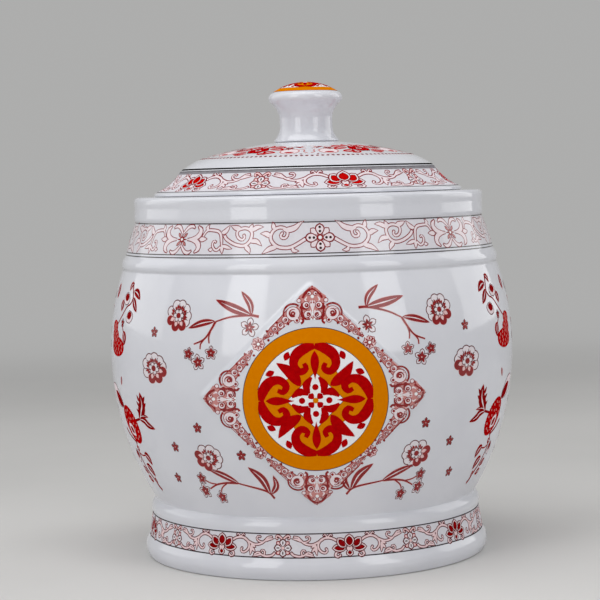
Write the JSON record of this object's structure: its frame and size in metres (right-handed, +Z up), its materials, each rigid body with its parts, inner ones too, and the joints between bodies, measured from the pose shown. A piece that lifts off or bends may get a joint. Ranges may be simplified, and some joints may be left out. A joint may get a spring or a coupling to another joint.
{
  "type": "rice storage jar",
  "caption": "Barrel-shaped glazed porcelain rice jar with a footed base, a raised diamond on its front, and a domed lid with a knob and a ribbed seal.",
  "frame": {"origin": "on the jar's axis, at the foot's standing plane", "axes": "+Z up along the jar's axis; the raised diamond faces -Y, so +X is to the right of someone who faces it"},
  "size_m": [0.28, 0.2815, 0.3263],
  "materials": {
    "pot_porcelain": "gloss",
    "lid_porcelain": "gloss",
    "knob_porcelain": "gloss",
    "silicone": "satin",
    "red_enamel": "gloss",
    "pink_enamel": "gloss",
    "gold_enamel": "gloss",
    "grey_enamel": "gloss"
  },
  "bodies": {
    "jar": {"jar_body": "pot_porcelain"},
    "seal": {"seal_ring": "silicone"},
    "lid": {"lid_shell": "lid_porcelain", "lid_knob": "knob_porcelain"}
  },
  "joints": [
    {"name": "lid_lift", "type": "slide", "parent": "jar", "child": "seal", "axis": [0, 0, 1], "range_m": [0, 0.15]},
    {"name": "lid_turn", "type": "hinge", "parent": "seal", "child": "lid", "pos_m": [0, 0, 0.2492], "axis": [0, 0, 1], "continuous": true}
  ]
}
